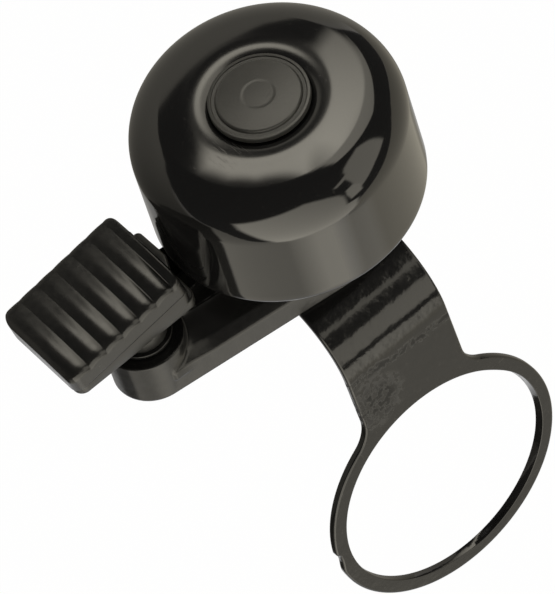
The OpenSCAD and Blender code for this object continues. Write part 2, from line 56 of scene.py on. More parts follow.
# Axes and heights shared by several pieces
dome_axis = np.array([0.0, 14.7])
pivot_axis = np.array([-23.1, 14.7])
seat_z = 33.5
arm_top = 39.9
lever_z = 42.3
washer_foot, washer_top = 40.2, 40.7
pad_near = 11.6
pad_width = 12.7
pad_slope = np.radians(7.6)
pad_plane_z = 44.7


def span(node):
    """Lowest and highest corner of a solid, in millimetres."""
    low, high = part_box(node)
    return np.array(low) / MM, np.array(high) / MM


def unit(vectors):
    """Vectors divided by their own lengths."""
    return vectors / np.linalg.norm(vectors, axis=-1, keepdims=True)


def smooth(t):
    """A step that starts and ends level: 3 t^2 - 2 t^3 between 0 and 1."""
    t = np.clip(t, 0, 1)
    return t * t * (3 - 2 * t)


def at_shares(line, share):
    """Points of a line at given shares of its length."""
    run = np.concatenate([[0], np.cumsum(np.linalg.norm(np.diff(line, axis=0), axis=1))])
    return np.column_stack([np.interp(share * run[-1], run, column) for column in line.T])


def arc(centre, radius, start, end, count):
    """Points at one distance from a centre, between two angles in degrees."""
    turn = np.radians(np.linspace(start, end, count))
    return np.column_stack([centre[0] + radius * np.cos(turn), centre[1] + radius * np.sin(turn)])


def rounded(corners, radii, steps, closed=True):
    """A polygon whose corners are arcs.

    At a corner of angle w the arc of radius r starts r / tan(w / 2) away along both sides. Its points
    blend the first and last radius by the sines of the turn that is left and done. A guard point next
    to each end of an arc keeps the straight sides flat in the shading.
    """
    corner = np.asarray(corners, float)
    radius = np.broadcast_to(np.asarray(radii, float), len(corner))[:, None]
    back = unit(np.roll(corner, 1, 0) - corner)
    ahead = unit(np.roll(corner, -1, 0) - corner)
    half = np.arccos(np.clip((back * ahead).sum(1, keepdims=True), -1, 1)) / 2
    reach = radius / np.tan(half)
    centre = corner + unit(back + ahead) * radius / np.sin(half)
    first = (corner + back * reach - centre)[:, None]
    last = (corner + ahead * reach - centre)[:, None]
    turn = (np.pi - 2 * half)[:, None]
    done = np.linspace(0, 1, steps + 1)[None, :, None]
    blend = first * np.sin((1 - done) * turn) + last * np.sin(done * turn)
    bend = centre[:, None] + blend / np.sin(turn)
    guard = reach + 0.1 * radius + 0.01
    before, after = corner + back * guard, corner + ahead * guard
    path = np.concatenate([before[:, None], bend, after[:, None]], 1)
    if closed:
        return path.reshape(-1, 2)
    return np.concatenate([corner[:1], path[1:-1].reshape(-1, 2), corner[-1:]])


def turned(profile, axis, segments, closed=True):
    """A (radius, height) profile carried round an upright axis: x = r cos t, y = r sin t, z = height."""
    turn = np.linspace(0, 2 * np.pi, segments, endpoint=False)
    radius, height = profile[:, :1], profile[:, 1:]
    points = np.stack([axis[0] + radius * np.cos(turn), axis[1] + radius * np.sin(turn),
                       height + 0 * turn], -1)
    return points, closed, True


def peg(axis, radius, low, high):
    """A short round peg with soft edges."""
    profile = rounded([(0, low), (radius, low), (radius, high), (0, high)], [0.1, 0.15, 0.1, 0.1], 4, False)
    return turned(profile, axis, 40, False)


def outward(outline):
    """Unit normals of an anticlockwise outline: the chord over each point, turned clockwise."""
    chord = unit(np.roll(outline, -1, 0) - np.roll(outline, 1, 0))
    return np.column_stack([chord[:, 1], -chord[:, 0]])


def slab(outline, low, high, edge):
    """A plate with round edges: the outline is drawn in by edge (1 - cos t) as it climbs by edge sin t.

    low and high give the two faces as functions of x. Both faces are closed by a fan to the middle.
    """
    steps = 5
    normal = outward(outline)
    turn = np.linspace(0, np.pi / 2, steps + 1)
    inset = np.concatenate([[edge * 3], edge * (1 - np.sin(turn)), edge * (1 - np.cos(turn)), [edge * 3]])
    lift = np.concatenate([[0], edge * (1 - np.cos(turn)), -edge * (1 - np.sin(turn)), [0]])
    upper = np.arange(len(inset)) > steps + 1
    ring = outline[None] - normal[None] * inset[:, None, None]
    height = np.where(upper[:, None], high(ring[..., 0]), low(ring[..., 0])) + lift[:, None]
    rows = np.concatenate([ring, height[..., None]], -1)
    middle = rows.mean(1, keepdims=True) + 0 * rows
    return np.concatenate([middle[:1], rows, middle[-1:]]), False, True


def tube(path, side, radius, segments):
    """A round wire: a circle in the plane across the path, whose first axis is the side vector."""
    along = unit(np.gradient(path, axis=0))
    first = unit(side - along * (side * along).sum(1, keepdims=True))
    second = np.cross(along, first)
    turn = np.linspace(0, 2 * np.pi, segments, endpoint=False)[None, :, None]
    skin = path[:, None] + radius * (first[:, None] * np.cos(turn) + second[:, None] * np.sin(turn))
    ends = path[[0, -1]][:, None] + 0 * skin[:2]
    return np.concatenate([ends[:1], skin, ends[1:]]), False, True


class Value:
    """A number that varies over a surface. It wraps a node socket, and sums with it add Math nodes."""

    def __init__(self, finish, socket):
        self.finish = finish
        self.socket = socket

    def math(self, operation, first, second):
        return self.finish.node("Math", {"operation": operation}, {0: first, 1: second})

    def __add__(self, other):
        return self.math("ADD", self, other)

    def __radd__(self, other):
        return self.math("ADD", other, self)

    def __sub__(self, other):
        return self.math("SUBTRACT", self, other)

    def __mul__(self, other):
        return self.math("MULTIPLY", self, other)


class Finish:
    """A material with one Principled shader, or a plain glow, and the nodes that feed it."""

    def __init__(self, name, shader="BsdfPrincipled"):
        self.material = bpy.data.materials.new(name)
        self.material.use_nodes = True
        self.tree = self.material.node_tree
        self.tree.nodes.clear()
        self.surface = self.tree.nodes.new("ShaderNode" + shader)
        result = self.tree.nodes.new("ShaderNodeOutputMaterial")
        self.tree.links.new(self.surface.outputs[0], result.inputs["Surface"])

    def plug(self, node, sockets):
        """Sets a node's sockets to numbers or links them to values."""
        for key, value in sockets.items():
            if isinstance(value, Value):
                self.tree.links.new(value.socket, node.inputs[key])
            else:
                node.inputs[key].default_value = value

    def node(self, kind, settings=None, sockets=None, output=0):
        """Any node: its type, its settings (two stops for a ramp), then its sockets."""
        made = self.tree.nodes.new("ShaderNode" + kind)
        for key, value in (settings or {}).items():
            if key == "stops":
                for element, (place, level) in zip(made.color_ramp.elements, value):
                    element.position = place
                    element.color = (level, level, level, 1)
            else:
                setattr(made, key, value)
        self.plug(made, sockets or {})
        return Value(self, made.outputs[output])

    def shade(self, **sockets):
        """Feeds the shader's own sockets, named with underscores for spaces."""
        self.plug(self.surface, {key.replace("_", " "): value for key, value in sockets.items()})
        return self

    def place(self):
        """Object coordinates."""
        return self.node("TexCoord", output="Object")

    def distance(self, spot):
        """Distance from a spot, both in metres."""
        return self.node("VectorMath", {"operation": "DISTANCE"}, {0: self.place(), 1: spot}, 1)

    def along(self, vector):
        """Dot product of the object coordinates with a vector."""
        return self.node("VectorMath", {"operation": "DOT_PRODUCT"}, {0: self.place(), 1: vector}, 1)

    def noise(self, scale, detail, stretch=(1, 1, 1), turn=(0, 0, 0)):
        """Cloudy noise between 0 and 1, about its middle, with its pattern stretched and turned."""
        spot = self.node("Mapping", {}, {"Vector": self.place(), "Scale": stretch, "Rotation": turn})
        return self.node("TexNoise", {}, {"Vector": spot, "Scale": scale, "Detail": detail})

    def ramp(self, value, *stops):
        """A value sent through a straight step between two stops of (place, level)."""
        return self.node("ValToRGB", {"stops": stops}, {"Fac": value})

    def between(self, factor, first, second):
        """A colour between two colours, which are the Mix node's sockets 6 and 7."""
        sockets = {0: factor, 6: (*first, 1), 7: (*second, 1)}
        return self.node("Mix", {"data_type": "RGBA"}, sockets, output=2)

    def bump(self, height, strength, distance):
        """Small relief for the shader's normal."""
        return self.node("Bump", {}, {"Height": height, "Strength": strength, "Distance": distance})


def piece(name, patches, finish, body, slot, *nodes, reach=None):
    """One smooth mesh from point grids: four neighbours make a face, and points that coincide are merged.

    reach, a number for each point, is kept with the mesh as an attribute.
    """
    points, faces, count = [], [], 0
    for grid, wrap_rows, wrap_columns in patches:
        index = count + np.arange(grid.shape[0] * grid.shape[1]).reshape(grid.shape[:2])
        count += index.size
        if wrap_rows:
            index = np.concatenate([index, index[:1]])
        if wrap_columns:
            index = np.concatenate([index, index[:, :1]], 1)
        corners = [index[:-1, :-1], index[1:, :-1], index[1:, 1:], index[:-1, 1:]]
        faces.append(np.stack(corners, -1).reshape(-1, 4))
        points.append(grid.reshape(-1, 3))
    mesh = bpy.data.meshes.new(name)
    mesh.from_pydata((np.concatenate(points) * MM).tolist(), [], np.concatenate(faces).tolist())
    if reach is not None:
        mesh.attributes.new("reach", "FLOAT", "POINT").data.foreach_set("value", reach.ravel())
    work = bmesh.new()
    work.from_mesh(mesh)
    bmesh.ops.remove_doubles(work, verts=work.verts, dist=1e-7)
    bmesh.ops.recalc_face_normals(work, faces=work.faces)
    work.to_mesh(mesh)
    work.free()
    mesh.polygons.foreach_set("use_smooth", np.ones(len(mesh.polygons), bool))
    mesh.materials.append(finish.material)
    shown = bpy.data.objects.new(name, mesh)
    bpy.context.scene.collection.objects.link(shown)
    if body:
        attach(shown, body)
    if nodes:
        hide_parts(*nodes)
    return shown


# Finishes


def dome_enamel():
    """High-gloss black enamel: ripples, dust, a duller ring round the cap and fine scratches beside it."""
    paint = Finish("dome_enamel")
    ripple = paint.noise(260, 2)
    dust = paint.ramp(paint.noise(2600, 2), (0.66, 0), (0.76, 1))
    haze = paint.noise(90, 3)
    rubbed = paint.ramp(paint.distance((-0.0064, 0.0125, 0.0619)) * 200, (0.35, 1), (0.75, 0))
    brushed = paint.ramp(paint.distance((0, 0.0147, 0.062)) * 100, (0.72, 1), (0.95, 0))
    hatch = paint.noise(700, 2, (9, 0.8, 1), (0, 0, 0.75))
    scratch = paint.ramp(hatch, (0.55, 0), (0.68, 1)) * rubbed
    worn = dust * 0.4 + scratch * 0.3
    paint.shade(Base_Color=paint.between(worn, (0.004, 0.004, 0.0042), (0.016, 0.0155, 0.015)),
                Roughness=0.05 + haze * 0.05 + dust * 0.08 + scratch * 0.12 + brushed * 0.12, IOR=1.5,
                Normal=paint.bump(ripple + scratch * 0.5, 0.12, 0.00002))
    return paint


def strip_enamel():
    """Black paint on stamped steel: orange peel, dull specks, scuffs at the bend's foot and below it."""
    paint = Finish("strip_enamel")
    peel = paint.noise(1100, 2)
    wave = paint.noise(330, 2)
    speck = paint.ramp(paint.noise(1900, 2), (0.64, 0), (0.74, 1))
    height, bend_foot = paint.along((60.0, 0.0, 1000.0)), 24.6
    off_foot = paint.node("Math", {"operation": "ABSOLUTE"}, {0: height + wave * 2 - bend_foot})
    foot = paint.ramp(off_foot, (0.3, 1), (0.9, 0))
    patch_middle = (-0.0042, 0.0013, 0.0192)
    patch = paint.ramp(paint.distance(patch_middle) * 150 + wave * 0.4, (0.5, 1), (0.85, 0))
    scuff = (foot + patch) * paint.ramp(paint.noise(1500, 4), (0.42, 0), (0.54, 1))
    paint.shade(Base_Color=paint.between(speck * 0.5, (0.005, 0.005, 0.0052), (0.02, 0.0195, 0.018)),
                Roughness=0.07 + wave * 0.06 + speck * 0.1 + scuff * 0.75, IOR=1.42,
                Normal=paint.bump(peel * 0.45 + wave, 0.2, 0.00016))
    return paint


def arm_moulding():
    """Gloss black moulded plastic with slow sink marks in its skin."""
    plastic = Finish("arm_moulding")
    sink = plastic.noise(420, 2)
    grain = plastic.noise(1500, 2)
    plastic.shade(Base_Color=plastic.between(grain, (0.004, 0.004, 0.0042), (0.007, 0.007, 0.007)),
                  Roughness=0.19 + grain * 0.08, IOR=1.38, Normal=plastic.bump(sink, 0.5, 0.0001))
    return plastic


def lever_moulding():
    """Satin black plastic of the lever, with fine drawn lines from the mould along its walls."""
    plastic = Finish("lever_moulding")
    drag = plastic.noise(900, 3, (1, 1, 0.15))
    plastic.shade(Base_Color=plastic.between(drag, (0.007, 0.007, 0.0072), (0.013, 0.013, 0.0125)),
                  Roughness=0.24 + drag * 0.12, IOR=1.4, Normal=plastic.bump(drag, 0.12, 0.00002))
    return plastic


def pad_moulding():
    """Satin black plastic of the thumb pad: wavy skin on the ribs and handling wear as a fine mottle."""
    plastic = Finish("pad_moulding")
    wave = plastic.noise(300, 3, (1, 0.4, 1))
    mottle = plastic.noise(1300, 3)
    plastic.shade(Base_Color=plastic.between(mottle, (0.004, 0.004, 0.0042), (0.009, 0.009, 0.0087)),
                  Roughness=0.17 + mottle * 0.14, IOR=1.43,
                  Normal=plastic.bump(wave + mottle * 0.16, 0.4, 0.00006))
    return plastic


def cap_moulding():
    """Matt dark grey plastic with a fine spark-eroded grain."""
    plastic = Finish("cap_moulding")
    grain = plastic.noise(3200, 2)
    cloud = plastic.noise(420, 3)
    fleck = grain * 0.6 + cloud * 0.4
    plastic.shade(Base_Color=plastic.between(fleck, (0.013, 0.013, 0.0125), (0.029, 0.029, 0.0275)),
                  Roughness=0.3 + grain * 0.1, IOR=1.44,
                  Normal=plastic.bump(grain + cloud * 0.5, 0.3, 0.00004))
    return plastic


def zinc_plate():
    """Zinc plated steel with faint turning lines and cloudy bright patches."""
    metal = Finish("zinc_plate")
    line = metal.noise(2200, 2, (0.2, 0.2, 4))
    cloud = metal.noise(300, 3)
    metal.shade(Base_Color=metal.between(cloud, (0.5, 0.5, 0.52), (0.68, 0.68, 0.68)), Metallic=1.0,
                Roughness=0.22 + line * 0.16, Normal=metal.bump(line, 0.15, 0.00002))
    return metal


def spring_wire():
    """Bright drawn spring steel, streaked along its length."""
    metal = Finish("spring_wire")
    streak = metal.noise(1500, 3, (0.25, 1, 3))
    metal.shade(Base_Color=metal.between(streak, (0.32, 0.32, 0.34), (0.5, 0.5, 0.51)), Metallic=1.0,
                Roughness=0.25 + streak * 0.2, Normal=metal.bump(streak, 0.12, 0.00002))
    return metal


def leaf_painted_shade():
    """Spring steel strip coloured near black as painted shade for the shade it lies in under the dome, a
    little lighter in streaks.
    """
    metal = Finish("leaf_painted_shade")
    streak = metal.noise(1500, 3, (0.25, 1, 3))
    metal.shade(Base_Color=metal.between(streak, (0.002, 0.002, 0.002), (0.004, 0.004, 0.004)),
                Metallic=1.0, Roughness=0.2 + streak * 0.1, Normal=metal.bump(streak, 0.12, 0.00002))
    return metal


def turned_brass():
    """Brass with fine lathe rings and a little dulling."""
    metal = Finish("turned_brass")
    ring = metal.noise(1800, 2, (0.1, 0.1, 6))
    dull = metal.noise(350, 3)
    metal.shade(Base_Color=metal.between(dull, (0.55, 0.37, 0.15), (0.76, 0.57, 0.28)), Metallic=1.0,
                Roughness=0.22 + ring * 0.18, Normal=metal.bump(ring, 0.2, 0.00002))
    return metal


def soft_rubber():
    """Matt black rubber with a powdery bloom."""
    rubber = Finish("soft_rubber")
    bloom = rubber.noise(900, 4)
    rubber.shade(Base_Color=rubber.between(bloom, (0.012, 0.012, 0.012), (0.035, 0.034, 0.033)),
                 Roughness=0.7 + bloom * 0.2, Normal=rubber.bump(bloom, 0.3, 0.00004))
    return rubber


finish_of_slot = {
    "bracket_paint": strip_enamel(),
    "dome_paint": dome_enamel(),
    "arm_plastic": arm_moulding(),
    "lever_plastic": lever_moulding(),
    "pad_plastic": pad_moulding(),
    "cap_plastic": cap_moulding(),
    "plated_steel": zinc_plate(),
    "spring_steel": spring_wire(),
    "brass": turned_brass(),
    "rubber": soft_rubber(),
}


def add(name, patches, body, slot, *nodes):
    """A piece with the finish of its slot."""
    return piece(name, patches, finish_of_slot[slot], body, slot, *nodes)


# Dome and cap


def dome_shell():
    """The dome's wall turned about its axis.

    The crown is a shallow arc that sinks round the cap by 0.045 (8.8 - r)^2.5. Then come a shoulder arc,
    a straight skirt, a round rim and the same line back up inside, 1.2 in from the outside, to the sunk
    seat of the screw.
    """
    low, high = span("dome")
    radius = (high[0] - low[0]) / 2 - 0.006
    rim = low[2]
    crown, shoulder, wall, well, screw_hole = 68.0, 5.2, 1.2, 4.6, 1.55
    crown_z = high[2] - np.sqrt(crown ** 2 - well ** 2)
    shoulder_r = radius - shoulder
    shoulder_z = crown_z + np.sqrt((crown - shoulder) ** 2 - shoulder_r ** 2)
    turn = np.degrees(np.arcsin(shoulder_r / (crown - shoulder)))
    seat = high[2] + 0.156 - 3.2
    reach = np.sin(np.radians(turn)) * crown
    across = np.concatenate([np.linspace(well + 0.25, 9, 50), np.linspace(9.1, reach, 40, endpoint=False)])
    sunk = 0.045 * np.maximum(8.8 - np.maximum(across, 5.7), 0) ** 2.5
    top = np.column_stack([across, crown_z + np.sqrt(crown ** 2 - across ** 2) - sunk])
    lip = arc((well + 0.25, top[0, 1] - 0.25), 0.25, 180, 100, 6)
    inside = crown - wall
    back_in = np.linspace(inside * np.sin(np.radians(turn)), well + wall + 0.5, 24)
    ceiling = np.column_stack([back_in, crown_z + np.sqrt(inside ** 2 - back_in ** 2)])
    under = rounded([(well + wall + 0.5, ceiling[-1, 1]), (well + wall, ceiling[-1, 1] - 0.1),
                     (well + wall, seat - wall), (screw_hole, seat - wall), (screw_hole, seat),
                     (well, seat), (well, lip[0, 1])], 0.08, 3, False)
    skirt = np.column_stack([np.full(12, radius), np.linspace(shoulder_z, rim + wall / 2, 14)[1:-1]])
    profile = np.concatenate([
        lip, top, arc((shoulder_r, shoulder_z), shoulder, 90 - turn, 0, 40), skirt,
        arc((radius - wall / 2, rim + wall / 2), wall / 2, 0, -180, 17),
        arc((shoulder_r, shoulder_z), shoulder - wall, 0, 90 - turn, 24), ceiling[1:], under[1:-1]])
    return turned(profile, dome_axis, 288)


def centre_cap():
    """The cap turned about the dome's axis.

    Its face falls by 0.011 r^2 from the middle, less a faint dimple inside radius 2. A round edge leads
    down to a groove, then come the thin flange, the skirt in the sunk seat and the hollow underside.
    """
    low, high = span("dome_cap")
    top, foot = high[2], low[2]
    flange = top - 0.47
    r = np.concatenate([np.linspace(0, 1.5, 8), np.linspace(1.6, 2.2, 13), np.linspace(2.4, 4.7, 14)])
    face = np.column_stack([r, top - 0.011 * r ** 2 - 0.04 * (1 - smooth((r - 1.65) / 0.45))])
    edge = arc((4.7, face[-1, 1] - 0.26), 0.26, 84, 4, 8)
    groove, under, ceiling = flange - 0.14, flange - 0.72, flange - 0.35
    skirt_out, skirt_in = 4.5, 3.9
    rest = rounded([edge[-1], (5.02, groove), (5.44, groove), (5.5, flange), (5.86, flange - 0.05),
                    (5.88, under), (skirt_out, under), (skirt_out, foot), (skirt_in, foot),
                    (skirt_in, ceiling), (0, ceiling)],
                   [0.02, 0.06, 0.06, 0.07, 0.08, 0.05, 0.05, 0.1, 0.1, 0.05, 0.1], 5, False)
    return turned(np.concatenate([face, edge, rest[1:]]), dome_axis, 192, False)


add("bell_dome", [dome_shell()], "base", "dome_paint", "dome")
add("centre_cap", [centre_cap()], "base", "cap_plastic", "dome_cap")


# Bracket

leg_lean = np.radians(5)
leg_length = 24.7
bend_radius = 9.2
bend_length = bend_radius * (np.pi / 2 - leg_lean)
bend_y, bend_z = 11.317, 23.8


def strip_bend(plan, depth):
    """Lays flat points on the bent strip.

    plan is (across, along) and depth the distance behind the strip's middle. Along runs up the leaning leg,
    then round the bend, an arc about a line at bend_y and bend_z, then level over the seat.
    """
    along = plan[..., 1]
    straight = np.minimum(along, leg_length)
    turn = np.pi - leg_lean - np.clip(along - leg_length, 0, bend_length) / bend_radius
    level = np.maximum(along - leg_length - bend_length, 0)
    bent = along > leg_length
    y = np.where(bent, bend_y + (bend_radius - depth) * np.cos(turn) + level,
                 straight * np.sin(leg_lean) + depth * np.cos(leg_lean))
    z = np.where(bent, bend_z + (bend_radius - depth) * np.sin(turn),
                 straight * np.cos(leg_lean) - depth * np.sin(leg_lean))
    return np.stack([plan[..., 0], y, z], -1)


def ring_bracket():
    """The strip as a loop round the ring's bore.

    Its outline is the ring with a soft notch, two concave corners, the neck and the round seat end.
    Straight lines join the bore to the outline on both faces. The outer edges are arcs of radius edge,
    the bore's of radius lip, and on its lower right the bore opens by 0.28 towards the front.
    strip_bend() folds the result.
    """
    bore, band, half_neck, shift, corner = 14.3, 16.19, 7.4, 0.5, 4.5
    end = leg_length + bend_length + dome_axis[1] - bend_y
    right, left = shift + half_neck, shift - half_neck
    centre_r = np.array([right + corner, np.sqrt((band + corner) ** 2 - (right + corner) ** 2)])
    centre_l = np.array([left - corner, np.sqrt((band + corner) ** 2 - (left - corner) ** 2)])
    touch_r = np.degrees(np.arctan2(centre_r[1], centre_r[0]))
    touch_l = np.degrees(np.arctan2(centre_l[1], centre_l[0]))
    ring_turn = np.linspace(touch_l, touch_r + 360, 420)
    dent = 0.4 * smooth((ring_turn - 176) / 2.5) * smooth((190 - ring_turn) / 9)
    ring_angle = np.radians(ring_turn)
    ring = np.column_stack([(band - dent) * np.cos(ring_angle), (band - dent) * np.sin(ring_angle)])
    rise = np.linspace(0, 1, 44)[1:-1, None]
    right_foot, left_foot = np.array([right, centre_r[1]]), np.array([left, centre_l[1]])
    neck = np.concatenate([
        arc(centre_r, corner, touch_r + 180, 180, 14)[1:],
        right_foot + rise * (np.array([right, end]) - right_foot),
        arc((shift, end), half_neck, 0, 180, 60),
        np.array([left, end]) + rise * (left_foot - np.array([left, end])),
        arc(centre_l, corner, 0, touch_l - 180, 14)[:-1]])
    outline = np.concatenate([ring, neck])
    step = np.linalg.norm(np.diff(np.concatenate([ring[-1:], neck, ring[:1]]), axis=0), axis=1)
    share = np.cumsum(step)[:-1] / step.sum()
    turn = np.radians(np.concatenate([ring_turn - 360, touch_r + share * (touch_l - touch_r)]))
    facing = np.column_stack([np.cos(turn), np.sin(turn)])
    normal = outward(outline)
    edge, half = 0.26, 0.5
    bend = np.linspace(np.pi / 2, 0, 6)
    side = np.concatenate([edge * (np.cos(bend) - 1), edge * (np.cos(bend[::-1]) - 1)])
    depth = np.concatenate([half - edge * (1 - np.sin(bend)), edge * (1 - np.sin(bend[::-1])) - half])
    outer = outline[None] + normal[None] * side[:, None, None]
    lower_right = np.array([0.866, -0.5])
    draft = 0.28 * smooth((facing @ lower_right - 0.25) / 0.4)[None]
    lip = 0.1
    roll_in, roll_up = lip * (1 - np.sin(bend[::-1][:, None])), lip * (1 - np.cos(bend[::-1][:, None]))
    hole_side = np.concatenate([draft + roll_in, 0 * draft + roll_up])
    hole_depth = np.concatenate([roll_up - half, half - roll_in])
    inner = facing[None] * (bore + hole_side)[..., None]
    over = np.concatenate([[0.004], np.linspace(0.02, 0.98, 30), [0.996]])[:, None, None]
    front = outer[-1] + over * (inner[0] - outer[-1])
    behind = inner[-1] + over * (outer[0] - inner[-1])
    plan = np.concatenate([outer, front, inner, behind])
    level = np.concatenate([depth, np.full(len(over), -half), hole_depth[:, 0], np.full(len(over), half)])
    return strip_bend(plan, level[:, None] + 0 * plan[..., 0]), True, True


add("ring_bracket", [ring_bracket()], "base", "bracket_paint", "headset_bracket")


# Base arm


def teardrop_arm():
    """The moulded arm as a loop round the pivot.

    The outline is two circles and their common tangents. Its wall is a profile of (depth inwards, height).
    On the near side it stands upright, then leans in as a low roof. On the far side it is an upright block
    with a flat top, and the two blend by the outline's normal. They stop where they meet the boss, whose
    wall stays upright and 0.5 taller: at a distance s along the tangent it lies r - sqrt(r^2 - s^2) inside
    the outline. Within, the loop follows the spring's well and the recess of the pin's head.
    """
    boss, end, round_steps = 4.8, 8.1, 90
    reach = dome_axis[0] - pivot_axis[0]
    lean = np.degrees(np.arcsin((end - boss) / reach))
    dome_end = arc(dome_axis, end, -90 - lean, 90 + lean, round_steps)
    boss_end = arc(pivot_axis, boss, 90 + lean, 270 - lean, round_steps)
    run = np.sqrt(reach ** 2 - (end - boss) ** 2)
    along = np.linspace(0, run, 122)[1:-1]
    upper = dome_end[-1] + (boss_end[0] - dome_end[-1]) * (along / run)[:, None]
    lower = boss_end[-1] + (dome_end[0] - boss_end[-1]) * (along / run)[:, None]
    outline = np.concatenate([dome_end, upper, boss_end, lower])
    past = np.concatenate([np.full(round_steps, run), run - along, np.zeros(round_steps), along])
    room = boss - np.sqrt(boss ** 2 - np.minimum(past, boss) ** 2)
    normal = outward(outline)
    top, deep = 5.7, 4.7
    roof = rounded([(0, 0.03), (0.08, 3.1), (1.3, 4.1), (4.2, 5.45), (deep, top)],
                   [0.1, 0.5, 0.6, 0.6, 0.02], 9, False)
    block = rounded([(0, 0.03), (0.08, top), (deep, top)], [0.1, 0.4, 0.02], 9, False)
    share = np.append(np.linspace(0, 0.997, 60), 1)
    near_line, far_line = at_shares(roof, share)[:, None], at_shares(block, share)[:, None]
    far_side = smooth(0.5 + 2 * normal[:, 1])[None, :, None]
    pull, lift = np.moveaxis(near_line * (1 - far_side) + far_line * far_side, -1, 0)
    gap = room - pull
    inset = np.minimum(pull, room) - 0.25 * np.exp(-np.abs(gap) / 0.4) * (room > 0.05) * (pull > 0.05)
    wall = outline[None] - normal[None] * inset[..., None]
    near_boss = 1 - smooth((past - 3) / 4)
    rim_inset = np.stack([0.01 + 0.05 * near_boss, 0.2 + 0 * past, 0.3 + 0 * past])
    rim = wall[-1][None] - normal[None] * rim_inset[..., None]
    facing = unit(rim[-1] - pivot_axis)
    well, pin_hole, recess, well_floor, recess_top = 2.9, 1.27, 2.22, 35.8, 34.52
    hole_r = np.array([3.6, 2.98, well, well, pin_hole, pin_hole, recess, recess, 2.3])
    hole_z = np.array([0, arm_top, arm_top - 0.08, well_floor, well_floor, recess_top, recess_top,
                       seat_z + 0.08, seat_z])
    hole = pivot_axis + facing[None] * hole_r[:, None, None]
    floor = outline[None] - normal[None] * np.array([2.0, 0.4])[:, None, None]
    plan = np.concatenate([wall, rim, hole, floor])
    tall = top + 0.5 * near_boss
    rows = np.concatenate([hole_z, [seat_z, seat_z]])[:, None] + 0 * past
    step_up = np.array([0.09, 0.15, 0.15])[:, None] * near_boss
    rows[0] = seat_z + tall + step_up[-1]
    height = np.concatenate([seat_z + lift * tall / top, seat_z + tall + step_up, rows])
    return np.concatenate([plan, height[..., None]], -1), True, True


key_peg = peg((5.0, dome_axis[1]), 1.2, 32.42, 34)
add("teardrop_arm", [teardrop_arm(), key_peg], "base", "arm_plastic", "base_arm")


# Thumb pad and lever


def ribbed_pad():
    """Loops across the pad, carried up its slope.

    Each loop is a rectangle with round upper edges. Its top follows the ribs, arcs that meet in valleys
    one pitch apart and lose 0.7 of their depth towards the far edge. It falls away on both sides of the
    ridge by the square of the distance, and rounds off along the near edge. Its width follows the round
    corners of the plan, and its height the round ends. The loops lean more and more towards the inner end,
    which stands upright, and near the near edge that end flares out at its foot.
    """
    first, last, crest, rib, pitch, edge = -11.2, 5.498, 3.4, 0.33, 2.57, 0.3
    outer, inner = 1.2, 0.9
    curl = np.linspace(0, np.pi / 2, 10)
    outer_end = first + outer * (1 - np.cos(curl))
    inner_end = last - inner * (1 - np.cos(curl[::-1]))
    stretch = 1 + 0.34 / (last - first)
    valley = first + (4.55 - first) / stretch
    step = pitch / stretch
    ribs = (valley + step * np.arange(-7, 2)[:, None] + step * np.linspace(0, 1, 25)[None, :-1]).ravel()
    between_ends = (ribs > outer_end[-1] + 0.02) & (ribs < inner_end[0] - 0.02)
    along = np.sort(np.concatenate([outer_end, ribs[between_ends], inner_end]))
    out_left, in_left = along - first, last - along
    narrow = (outer - np.sqrt(outer ** 2 - np.maximum(outer - out_left, 0) ** 2)
              + inner - np.sqrt(inner ** 2 - np.maximum(inner - in_left, 0) ** 2))
    brow, lip = 0.7, 0.3
    drop = (brow - np.sqrt(brow ** 2 - np.maximum(brow - out_left, 0) ** 2)
            + lip - np.sqrt(lip ** 2 - np.maximum(lip - in_left, 0) ** 2))
    radius = (pitch ** 2 / 4 + rib ** 2) / (2 * rib)
    off = (np.mod((along - valley) / step, 1) - 0.5) * pitch
    sink = radius - np.sqrt(radius ** 2 - off ** 2)
    bend = np.linspace(np.pi, np.pi / 2, 7)
    across = np.linspace(0, 1, 34)[1:-1] ** 1.35
    wall = np.zeros(6)
    share = np.concatenate([wall, 0 * bend, across, 0 * bend + 1, wall + 1, [0.98, 0.02]])
    foot_in = np.array([0.3, 0, 0, 0, 0, 0])
    turn_in = np.concatenate([foot_in, 1 + np.cos(bend), 1 - 2 * across, -1 - np.cos(bend[::-1]),
                              -foot_in[::-1], [0, 0]])
    rise = np.array([0, 0, 0, 0.5, 1, 1])
    tall = np.concatenate([rise, 0 * bend + 1, 0 * across + 1, 0 * bend + 1, rise[::-1], [0, 0]])
    side = np.array([0, 0.3, 0.6, 0, -1.5, -1.1])
    dip = np.concatenate([side, np.sin(bend) - 1, 0 * across, np.sin(bend[::-1]) - 1, side[::-1], [0, 0]])
    left = pad_near + narrow[:, None]
    right = pad_near + pad_width - 1.5 * narrow[:, None]
    y = left + share * (right - left) + turn_in * edge
    over = np.clip((y - pad_near) / pad_width, 0, 1)
    near_round = 1.0 - np.sqrt(1.0 - np.maximum(1.0 - (y - left), 0) ** 2)
    ridge = 18.0
    camber = 0.0128 * np.maximum(ridge - y, 0) ** 2 + 0.0048 * np.maximum(y - ridge, 0) ** 2
    top = crest - sink[:, None] * (1 - 0.7 * over) - drop[:, None] - 0.5 * near_round - camber
    h = tall * top + dip * edge
    lean = (along[:, None] - first) / (last - first)
    near_foot = (1 - smooth((y - pad_near) / 4)) * np.clip(1 - h / 2.4, 0, 1)
    flare = 0.45 * smooth((along[:, None] - 3.5) / 2) * near_foot
    u = along[:, None] + lean * h * np.tan(pad_slope) + flare
    loop = np.stack([pivot_axis[0] + u * np.cos(pad_slope) - h * np.sin(pad_slope), y,
                     pad_plane_z + u * np.sin(pad_slope) + h * np.cos(pad_slope)], -1)
    ends = loop[[0, -1]].mean(1, keepdims=True) + 0 * loop[:2]
    return np.concatenate([ends[:1], loop, ends[1:]]), False, True


